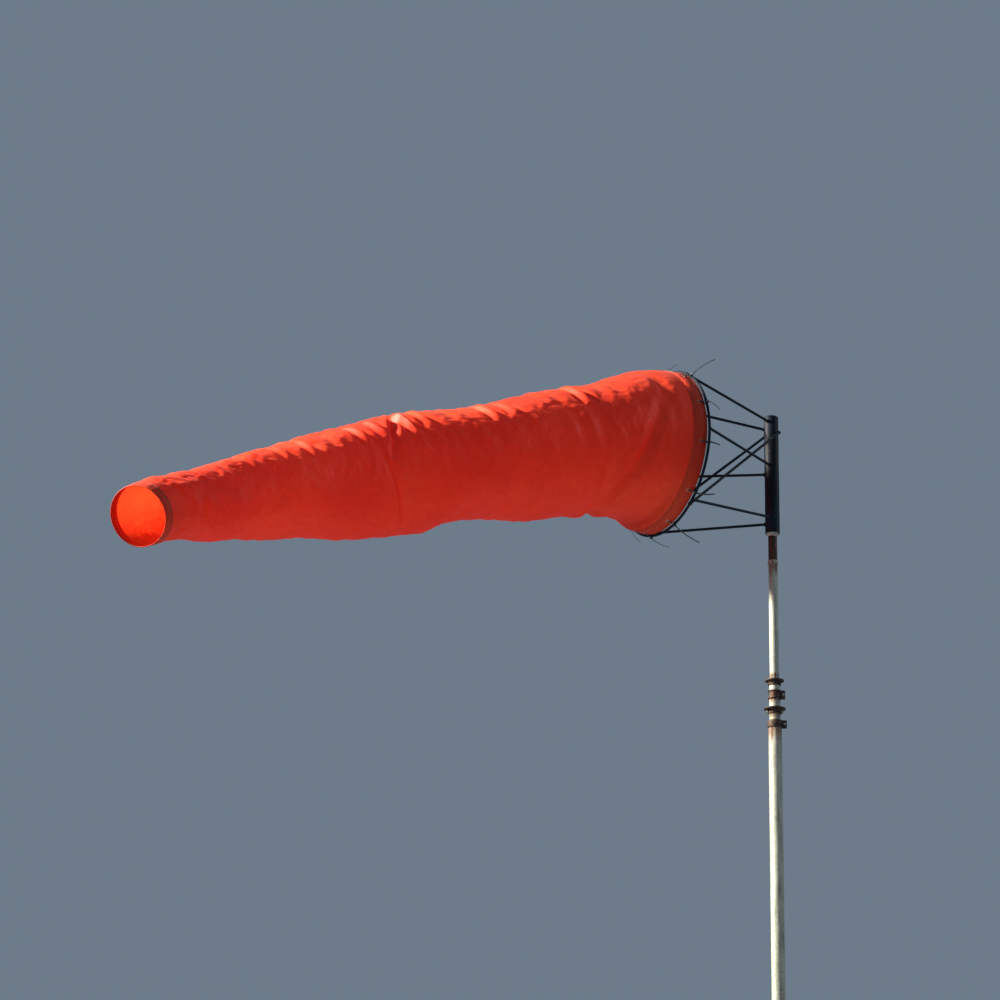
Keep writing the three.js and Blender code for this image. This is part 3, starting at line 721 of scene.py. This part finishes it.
def weldBead(centre, axis, radius, seed):
    # a rippled ring of weld metal round a rod's foot
    axis = Vector(axis).normalized()
    side = axis.orthogonal().normalized()
    other = axis.cross(side)
    steps = 40
    points, radii = [], []
    for i in range(steps):
        angle = tau * i / steps
        wobble = 1 + 0.12 * noise.noise(Vector((math.cos(angle) * 2, math.sin(angle) * 2, seed)))
        points.append(centre + radius * wobble * (math.cos(angle) * side + math.sin(angle) * other))
        ripple = 0.15 * math.sin(angle * 9) + 0.15 * math.sin(seed + angle * 2)
        radii.append(head["weldRadius"] * (0.8 + ripple))
    return sweep(points, radii, 10, closed=True)


def buildHead():
    turns = [tau * i / head["ringSteps"] for i in range(head["ringSteps"])]
    ringPoints = [ringCentre + ringRadius * Vector((0, math.cos(turn), math.sin(turn)))
                  for turn in turns]
    verts, faces = sweep(ringPoints, rodRadius, head["rodSides"], closed=True)
    ring = makePiece("fine_mouth_ring", verts, faces, "black_paint")
    finishPiece(ring, "head", "black_paint", "mouth_ring")
    for index, node in enumerate(rodNodes):
        start, end = rodAxis(node)
        steps = 14
        points = [start.lerp(end, i / steps) for i in range(steps + 1)]
        verts, faces = sweep(points, rodRadius, head["rodSides"])
        piece = makePiece("fine_" + node, verts, faces, "black_paint")
        sharpen(piece, 50)
        finishPiece(piece, "head", "black_paint", node)
        direction = (end - start).normalized()
        sleeveFoot = start + direction * (3 * mm)
        ringFoot = end - direction * (1 * mm)
        beads = merge([
            weldBead(sleeveFoot, direction, rodRadius * 0.9, index),
            weldBead(ringFoot, direction, rodRadius * 0.9, index + 20),
        ])
        weld = makePiece(node + "_welds", beads[0], beads[1], "black_paint")
        finishPiece(weld, "head", "black_paint")
    low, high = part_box("swivel_sleeve")
    wall, edge = 3.2 * mm, 1.2 * mm
    heights = [low.z + edge + (high.z - low.z - 2 * edge) * i / 40 for i in range(41)]
    profile = [(sleeveRadius - wall, low.z), (sleeveRadius - edge, low.z)]
    profile += [(sleeveRadius, h) for h in heights]
    profile += [(sleeveRadius - edge, high.z), (sleeveRadius - wall, high.z)]
    sleeve = lathe("fine_swivel_sleeve", profile, "black_paint")
    finishPiece(sleeve, "head", "black_paint", "swivel_sleeve")
    refine("sleeve_cap", 0.8 * mm, 3)
    refine("lower_bearing")
    refine("upper_bearing")
    for node in frame["nodes"]:
        if node.startswith("mouth_tie_"):
            refine(node, 0.3 * mm, 2)


buildHead()
print("head made")

# The sock.
sock = {
    "length": 2.438,
    "hemStart": 0.0065,  # just clear of the ring rod
    "hemEnd": 0.062,
    "seam": 1.219,  # the two cut lengths of cloth meet here
    "tailHem": 0.038,
    "foldFade": 2.36,  # the folds fade out ahead of the tail hem
    "foldEnd": 2.4,
    "hemInset": 0.004,
    "tailRadius": 0.098,
    "mouthDroop": 21,
    "droopShare": 0.1,
    "tailDroop": 9,
    "swing": 31,
    "rows": 380,
    "columns": 160,
    "fullness": [(0, 1), (0.045, 1), (0.36, 0.85), (0.5, 0.83), (0.8, 0.81),
                 (1.3, 1), (1.8, 0.93), (2.2, 0.9), (2.438, 0.97)],
}
mouthRadius = ringRadius - sock["hemInset"]


def sockHeading(share):
    past = max(0, share - sock["hemEnd"] / sock["length"])
    nearMouth = sock["mouthDroop"] * (1 - math.exp(-past / sock["droopShare"]))
    droop = math.radians(nearMouth + sock["tailDroop"] * share ** 5)
    swing = math.radians(sock["swing"] * share ** 1.5)
    return Vector((-math.cos(droop) * math.cos(swing), -math.cos(droop) * math.sin(swing), -math.sin(droop)))


centreStep = 0.004
centreLine = [ringCentre.copy()]
while len(centreLine) * centreStep < sock["length"] + 2 * centreStep:
    at = (len(centreLine) - 0.5) * centreStep / sock["length"]
    centreLine.append(centreLine[-1] + sockHeading(at) * centreStep)


def sockCentre(along):
    place = along / centreStep
    index = min(int(place), len(centreLine) - 2)
    return centreLine[index].lerp(centreLine[index + 1], place - index)


def smooth(value, low, high):
    t = min(max((value - low) / (high - low), 0), 1)
    return t * t * (3 - 2 * t)


def fullnessAt(along):
    knots = sock["fullness"]
    for (startPlace, startValue), (endPlace, endValue) in zip(knots, knots[1:]):
        if along <= endPlace:
            return startValue + (endValue - startValue) * smooth(along, startPlace, endPlace)
    return knots[-1][1]


def coneRadius(along):
    return mouthRadius + (sock["tailRadius"] - mouthRadius) * along / sock["length"]


# folds in the slack cloth: distance along, angle round (90 is the top), slant, width, spread round, depth
folds = [
    (0.150, 35, 0.10, 0.030, 40, 0.006),
    (0.235, -10, -0.38, 0.034, 45, 0.014),
    (0.350, -58, -0.38, 0.038, 42, 0.032),
    (0.330, -105, 0.30, 0.045, 30, 0.026),
    (0.430, -35, 0.10, 0.034, 52, 0.014),
    (0.540, 8, 0.14, 0.030, 38, 0.007),
    (0.820, -60, 0.20, 0.050, 34, 0.010),
    (1.020, -72, -0.20, 0.055, 34, 0.012),
    (1.270, 48, -0.70, 0.020, 34, 0.019),
    (1.345, -30, 0.37, 0.022, 44, 0.018),
    (1.235, -72, 0.10, 0.030, 26, 0.012),
    (1.700, -70, 0.20, 0.050, 34, 0.008),
    (1.960, -64, -0.20, 0.045, 34, 0.008),
    (2.230, -35, 0.30, 0.026, 50, 0.006),
    (2.345, 60, 0.20, 0.018, 50, 0.006),
    (2.350, -80, -0.20, 0.018, 50, 0.006),
    (0.520, 200, 0.20, 0.040, 45, 0.012),
    (0.950, 165, -0.25, 0.045, 45, 0.012),
    (1.480, 190, 0.25, 0.040, 45, 0.012),
    (1.950, 170, -0.20, 0.035, 45, 0.009),
]
# where the cloth bellies out between folds: distance along, angle, length, spread round, height
billows = [
    (0.130, -90, 0.11, 45, -0.024),
    (0.640, -90, 0.20, 50, 0.020),
    (1.130, -90, 0.12, 50, 0.006),
    (1.470, -90, 0.26, 50, 0.022),
    (1.900, -95, 0.20, 45, 0.006),
    (1.000, 5, 0.35, 50, 0.010),
    (0.300, 120, 0.20, 50, -0.006),
]
# the lengthwise seam is sewn tight, so the cloth puckers out of it: distance along and strength
puckers = [
    (0.34, 0.5), (0.45, 1.2), (0.60, 0.4), (0.76, 0.9), (0.86, 1.2), (1.00, 0.5), (1.12, 0.8), (1.222, 1.3),
    (1.33, 0.9), (1.42, 1.2), (1.54, 0.5), (1.65, 1.0), (1.78, 0.9), (1.93, 0.8), (2.07, 0.4), (2.19, 0.5),
]
pucker = {"seamAngle": 86, "reach": 56, "width": 0.012, "opening": 0.05, "depth": 0.018, "backReach": 30}
drop = {"depth": 0.018, "start": 0.06, "full": 0.42, "easing": 2.1, "end": 2.36}


def foldDepth(along, degrees):
    depth = 0
    radius = coneRadius(along)
    for place, angle, slant, width, spread, deep in folds:
        turn = (degrees - angle + 180) % 360 - 180
        if abs(turn) > spread * 1.7:
            continue
        ridge = (along - place - slant * math.radians(turn) * radius) / width
        if abs(ridge) > 3.2:
            continue
        # a valley with a raised lip on each side
        fall = math.exp(-0.9 * ridge * ridge - 1.4 * (turn / spread) ** 2)
        depth += deep * (1 - 0.9 * ridge * ridge) * fall
    for place, angle, width, spread, height in billows:
        turn = (degrees - angle + 180) % 360 - 180
        depth -= height * math.exp(-((along - place) / width) ** 2 - (turn / spread) ** 2)
    turn = (degrees - pucker["seamAngle"] + 180) % 360 - 180
    reach = pucker["reach"] if turn < 0 else pucker["backReach"]
    for index, (place, strength) in enumerate(puckers):
        far = abs(turn) / (reach * (0.75 + 0.25 * strength))
        if far > 1 or abs(along - place) > 0.09:
            continue
        fade = (1 - far) ** 0.7 * (0.35 + 1.3 * far) * min(1, radius / 0.2)
        lean = 0.25 * math.sin(index * 2.4) * pucker["opening"]
        spine = (along - place - lean * far) / (pucker["width"] * 1.1)
        crease = -0.9 * math.exp(-spine * spine)
        for side in (-1, 1):
            apart = side * (0.006 + pucker["opening"] * 0.5 * far)
            wing = (along - place - apart - lean * far) / pucker["width"]
            crease += math.exp(-wing * wing)
        depth += pucker["depth"] * strength * fade * crease
    return depth


def wrinkle(along, angle):
    # long soft waves and small crumples, both longer round the sock than along it
    across, around = math.cos(angle), math.sin(angle)
    wide = noise.noise(Vector((along * 7, across * 1.3, around * 1.3)))
    small = noise.noise(Vector((along * 26, across * 2.6, around * 2.6 + 4)))
    fine = noise.noise(Vector((along * 60, across * 6, around * 6 + 9)))
    ends = smooth(along, 0.07, 0.2) * (1 - smooth(along, 2.3, 2.4))
    return ends * (0.007 * wide + 0.0042 * small + 0.0014 * fine)


def sockPoint(along, degrees, out=0.0):
    # a point on the cloth: 0 degrees faces -Y, 90 is the top
    angle = math.radians(degrees)
    full = fullnessAt(along)
    heading = sockHeading(along / sock["length"])
    upward = (up - heading * heading.z).normalized()
    side = heading.cross(upward)
    radius = coneRadius(along)
    ends = smooth(along, sock["hemEnd"], sock["hemEnd"] + 0.04)
    ends *= 1 - smooth(along, sock["foldFade"], sock["foldEnd"])
    depth = foldDepth(along, degrees) * ends - wrinkle(along, angle)
    lowered = drop["depth"] * smooth(along, drop["start"], drop["full"])
    lowered *= 1 - smooth(along, drop["easing"], drop["end"])
    high = radius * full + out - depth
    wide = radius * (1 + 0.4 * (1 - full)) + out - depth
    sideways = side * (sideSign * math.cos(angle) * wide)
    return sockCentre(along) + sideways + upward * (math.sin(angle) * high - lowered)


firstSide = sockHeading(0).cross(up)
sideSign = 1 if firstSide.y < 0 else -1


def gridFaces(rows, columns):
    faces = []
    for r in range(rows - 1):
        here, below = r * columns, (r + 1) * columns
        for c in range(columns):
            across = (c + 1) % columns
            faces.append((here + c, below + c, below + across, here + across))
    return faces


clothLength = sock["length"] - sock["hemStart"]
rowPlaces = [sock["hemStart"] + clothLength * i / (sock["rows"] - 1) for i in range(sock["rows"])]
columnAngles = [360 * c / sock["columns"] for c in range(sock["columns"])]


def simulateSock():
    # the cloth is let go in the wind with a little too much length, so that it crumples between its folds
    start = [sockPoint(along, angle) for along in rowPlaces for angle in columnAngles]
    piece = makePiece("sockCloth", start, gridFaces(sock["rows"], sock["columns"]), "orange_cloth")
    pins = piece.vertex_groups.new(name="pins")
    for row, along in enumerate(rowPlaces):
        held = along <= sock["hemEnd"] or along >= sock["length"] - sock["tailHem"]
        nearEnds = (1 - smooth(along, 0.062, 0.12)) + smooth(along, 2.34, 2.4)
        first = row * sock["columns"]
        weight = 1.0 if held else 0.22 + 0.4 * nearEnds
        pins.add(list(range(first, first + sock["columns"])), weight, "REPLACE")
    cloth = piece.modifiers.new("cloth", "CLOTH")
    settings = cloth.settings
    settings.quality = 4
    settings.mass = 0.02
    settings.tension_stiffness = 10
    settings.compression_stiffness = 10
    settings.shear_stiffness = 3
    settings.bending_stiffness = 0.02
    settings.tension_damping = 10
    settings.compression_damping = 10
    settings.shear_damping = 10
    settings.air_damping = 2
    settings.vertex_group_mass = "pins"
    settings.pin_stiffness = 1.0
    settings.shrink_min = -0.010
    settings.use_pressure = True
    settings.uniform_pressure_force = 0.25
    settings.effector_weights.gravity = 0.1
    cloth.collision_settings.use_collision = False
    cloth.collision_settings.use_self_collision = False
    frames = 12
    cloth.point_cache.frame_start = 1
    cloth.point_cache.frame_end = frames
    for number in range(1, frames + 1):
        scene.frame_set(number)
    graph = bpy.context.evaluated_depsgraph_get()
    settled = piece.evaluated_get(graph).to_mesh()
    points = np.array([v.co for v in settled.vertices])
    piece.evaluated_get(graph).to_mesh_clear()
    bpy.data.objects.remove(piece)
    scene.frame_set(1)
    return points, np.array(start)


def limitMove(points, start, cap):
    # no point moves further than cap from where it began
    move = points - start
    length = np.linalg.norm(move, axis=1, keepdims=True)
    return start + move * np.minimum(1, cap / np.maximum(length, 1e-9))


settledPoints, startPoints = simulateSock()
moved = np.linalg.norm(settledPoints - startPoints, axis=1)
print("cloth moved: mean", round(float(moved.mean()), 4), "most", round(float(moved.max()), 4))
clothPoints = limitMove(settledPoints, startPoints, 0.012)
clothPoints = clothPoints.reshape(sock["rows"], sock["columns"], 3)
print("cloth settled")


def addCutMap(piece, places):
    # distances on the flat cloth, in metres, for the weave
    layer = piece.data.uv_layers.new(name="cut")
    columns = sock["columns"]
    for polygon in piece.data.polygons:
        across = [v % columns for v in polygon.vertices]
        wraps = max(across) - min(across) > columns / 2
        for loop in polygon.loop_indices:
            vertex = piece.data.loops[loop].vertex_index
            row, column = divmod(vertex, columns)
            if wraps and column == 0:
                column = columns
            layer.data[loop].uv = (column / columns * tau * 0.2, places[min(row, len(places) - 1)])


def clothPanel(name, firstRow, lastRow):
    points = clothPoints[firstRow:lastRow + 1].reshape(-1, 3)
    rows = lastRow - firstRow + 1
    piece = makePiece(name, points, gridFaces(rows, sock["columns"]), "orange_cloth")
    addCutMap(piece, rowPlaces[firstRow:lastRow + 1])
    return piece


seamRow = min(range(sock["rows"]), key=lambda r: abs(rowPlaces[r] - sock["seam"]))
frontPanel = clothPanel("frontPanel", 0, seamRow)
rearPanel = clothPanel("rearPanel", seamRow, sock["rows"] - 1)
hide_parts("sock_throat", "sock_front_panel", "sock_waist")
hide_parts("sock_rear_panel")


def blendFront(piece):
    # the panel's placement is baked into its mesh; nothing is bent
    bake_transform(piece)


def blendRear(piece):
    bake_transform(piece)


blendFront(frontPanel)
blendRear(rearPanel)
print("sock panels made")


def band(name, start, end, out, material="hem"):
    # a doubled strip of cloth round the sock: outside, edge, inside, edge
    columns = sock["columns"] * 2
    edge = 0.6 * mm
    middle = (start + end) / 2
    ring = [(start + edge, out), (start, 0.0), (start + edge, -out), (middle, -out * 1.1),
            (end - edge, -out), (end, 0.0), (end - edge, out), (middle, out * 1.1)]
    points, faces = [], []
    for c in range(columns):
        angle = 360 * c / columns
        turn = math.radians(angle)
        ripple = edge * noise.noise(Vector((math.cos(turn) * 9, math.sin(turn) * 9, start * 5)))
        points += [sockPoint(min(along, sock["length"]), angle, side + ripple) for along, side in ring]
    count = len(ring)
    for c in range(columns):
        here, there = c * count, (c + 1) % columns * count
        faces += [(here + i, here + (i + 1) % count, there + (i + 1) % count, there + i)
                  for i in range(count)]
    piece = makePiece(name, points, faces, material)
    layer = piece.data.uv_layers.new(name="cut")
    for polygon in piece.data.polygons:
        for loop in polygon.loop_indices:
            column, part = divmod(piece.data.loops[loop].vertex_index, count)
            layer.data[loop].uv = (column / columns * tau * 0.2, part * 0.01)
    return piece


# where the ties hold the hem: angle round the ring, 0 facing -Y and 90 up
tieAngles = [86, 52, 20, -10, -45, -75, -104, -133, -162, 170, 142, 114]
eyelet = {"place": 0.0296, "hole": 4.7 * mm, "rim": 7.2 * mm, "height": 1.1 * mm, "lift": 1.2 * mm}


def frameAt(along, degrees):
    # a point on the cloth with the ways along it, round it and out of it
    point = sockPoint(along, degrees)
    ahead = sockPoint(min(along + 0.002, sock["length"]), degrees)
    alongWay = (ahead - sockPoint(along - 0.002, degrees)).normalized()
    roundWay = (sockPoint(along, degrees + 0.5) - sockPoint(along, degrees - 0.5)).normalized()
    outWay = alongWay.cross(roundWay).normalized()
    if outWay.dot(point - sockCentre(along)) < 0:
        outWay = -outWay
    return point, alongWay, roundWay, outWay


def eyeletParts():
    # a pressed eyelet has a rolled rim on each side of the cloth
    parts = []
    for degrees in tieAngles:
        point, alongWay, roundWay, outWay = frameAt(eyelet["place"], degrees)
        for sign in (1, -1):
            middle = (eyelet["hole"] + eyelet["rim"]) / 2
            half = (eyelet["rim"] - eyelet["hole"]) / 2
            verts, faces = [], []
            steps, section = 28, 10
            for i in range(steps):
                turn = tau * i / steps
                way = math.cos(turn) * alongWay + math.sin(turn) * roundWay
                for k in range(section):
                    roll = tau * k / section
                    verts.append(point + way * (middle + half * math.cos(roll))
                                 + outWay * sign * (eyelet["lift"] + eyelet["height"] / 2 * math.sin(roll)))
            for i in range(steps):
                a, b = i * section, (i + 1) % steps * section
                faces += [(a + k, a + (k + 1) % section, b + (k + 1) % section, b + k)
                          for k in range(section)]
            parts.append((verts, faces))
    return merge(parts)


def stitchRow(places, lift, thickness=0.55 * mm):
    # stitches between neighbouring points of a row, each a short thread that dips at its ends
    parts = []
    for (along, degrees), (nextAlong, nextDegrees) in places:
        a, _, _, outA = frameAt(along, degrees)
        b, _, _, outB = frameAt(nextAlong, nextDegrees)
        points = [a.lerp(b, t) + (outA + outB) / 2 * (lift + thickness * 0.9 * math.sin(math.pi * t))
                  for t in (0.1, 0.37, 0.63, 0.9)]
        parts.append(sweep(points, [thickness * 0.6, thickness, thickness, thickness * 0.6], 6))
    return parts


stitch = {"length": 0.0055, "gap": 0.002}  # real stitches are about 3 mm, made longer so that they show


def ringStitches(along, lift):
    pitch = stitch["length"] + stitch["gap"]
    count = round(tau * coneRadius(along) / pitch)
    step = 360 / count
    share = stitch["length"] / pitch
    return stitchRow([((along, i * step), (along, (i + share) * step)) for i in range(count)], lift)


mouthBand = band("mouthHemBand", sock["hemStart"], sock["hemEnd"], 1.0 * mm)
finishPiece(mouthBand, "head", "orange_cloth", "mouth_hem")
tailBand = band("tailHemBand", sock["length"] - sock["tailHem"], sock["length"], 1.0 * mm, "orange_cloth")
finishPiece(tailBand, "sock_rear", "orange_cloth", "tail_hem")
eyelets = makePiece("hemEyelets", *eyeletParts(), "eyelet")
finishPiece(eyelets, "head", "zinc_hardware")
stitchLift = 1.1 * mm
mouthStitches = merge(ringStitches(sock["hemStart"] + 0.004, stitchLift)
                      + ringStitches(sock["hemEnd"] - 0.004, stitchLift)
                      + ringStitches(sock["hemEnd"] - 0.010, stitchLift))
finishPiece(makePiece("mouthHemStitches", *mouthStitches, "thread"), "head", "orange_cloth")
tailStitches = merge(ringStitches(sock["length"] - 0.004, stitchLift)
                     + ringStitches(sock["length"] - sock["tailHem"] + 0.004, stitchLift))
finishPiece(makePiece("tailHemStitches", *tailStitches, "thread"), "sock_rear", "orange_cloth")
print("hems made")

# Camera, light and floor.
view = {
    "place": Vector((-5.4926, -7.7149, -0.1983)),
    "elevation": 20.255,
    "heading": 29.304,
    "roll": 1.377,
    "lens": 97.04,
}


def buildCamera():
    e, h, roll = (math.radians(view[k]) for k in ("elevation", "heading", "roll"))
    forward = Vector((math.sin(h) * math.cos(e), math.cos(h) * math.cos(e), math.sin(e)))
    right = Vector((math.cos(h), -math.sin(h), 0))
    above = right.cross(forward)
    rolledRight = math.cos(roll) * right + math.sin(roll) * above
    rolledAbove = math.cos(roll) * above - math.sin(roll) * right
    turn = Matrix((rolledRight, rolledAbove, -forward)).transposed().to_4x4()
    data = bpy.data.cameras.new("camera")
    data.lens = view["lens"]
    data.sensor_width = 36
    data.clip_end = 200
    camera = bpy.data.objects.new("camera", data)
    camera.matrix_world = Matrix.Translation(view["place"]) @ turn
    scene.collection.objects.link(camera)
    scene.camera = camera
    return forward, rolledRight, rolledAbove


forward, right, above = buildCamera()
light = {"keyPower": 5100, "keySize": 1.0, "keyDistance": 9, "keyFrom": Vector((-0.8, 0.42, 0.46)),
         "fillPower": 44, "rimPower": 40, "worldColour": "#b3c9e0", "worldStrength": 0.34}


def areaLight(name, place, target, power, size, colour):
    data = bpy.data.lights.new(name, "AREA")
    data.energy = power
    data.size = size
    data.color = colourOf(colour)[:3]
    lamp = bpy.data.objects.new(name, data)
    lamp.location = place
    lamp.rotation_euler = (Vector(target) - Vector(place)).to_track_quat("-Z", "Y").to_euler()
    scene.collection.objects.link(lamp)


sockMiddle = sockCentre(1.1)
keyPlace = sockMiddle + light["keyFrom"].normalized() * light["keyDistance"]
areaLight("keyLight", keyPlace, sockMiddle, light["keyPower"], light["keySize"], "#fff2dc")
fillPlace = sockMiddle - forward * 6 - right * 1.5 + above * 1.2
areaLight("fillLight", fillPlace, sockMiddle, light["fillPower"], 5.0, "#f4f7ff")
rimPlace = sockMiddle + right * 5 + forward * 2 + above * 2
areaLight("rimLight", rimPlace, sockMiddle + right * 1.5, light["rimPower"], 2.0, "#ffffff")

world = bpy.data.worlds.new("studio")
world.use_nodes = True
background = world.node_tree.nodes["Background"]
background.inputs["Color"].default_value = colourOf(light["worldColour"])
background.inputs["Strength"].default_value = light["worldStrength"]
scene.world = world
scene.view_settings.view_transform = "Standard"

floor = {"radius": 2.6, "colour": "#4a4a48"}


def buildFloor():
    material, tree, place = startMaterial("paleStudioFloor")
    grain = addNode(tree, "TexNoise", {}, {"Vector": place, "Scale": 6, "Detail": 4})
    base = addNode(tree, "ValToRGB", {"stops": [(0.3, "#d6d4cf"), (0.7, floor["colour"])]}, {
        "Fac": grain.outputs["Fac"],
    }).outputs["Color"]
    shader = addNode(tree, "BsdfPrincipled", {}, {"Base Color": base, "Roughness": 0.85})
    endMaterial(tree, shader.outputs["BSDF"])
    materials["floor"] = material
    steps = 96
    points = [(0, 0, 0)]
    for i in range(steps):
        turn = tau * i / steps
        points.append((floor["radius"] * math.cos(turn), floor["radius"] * math.sin(turn), 0))
    faces = [(0, 1 + i, 1 + (i + 1) % steps) for i in range(steps)]
    makePiece("studioFloor", points, faces, "floor", smooth=False)


buildFloor()
print("camera, light and floor made")
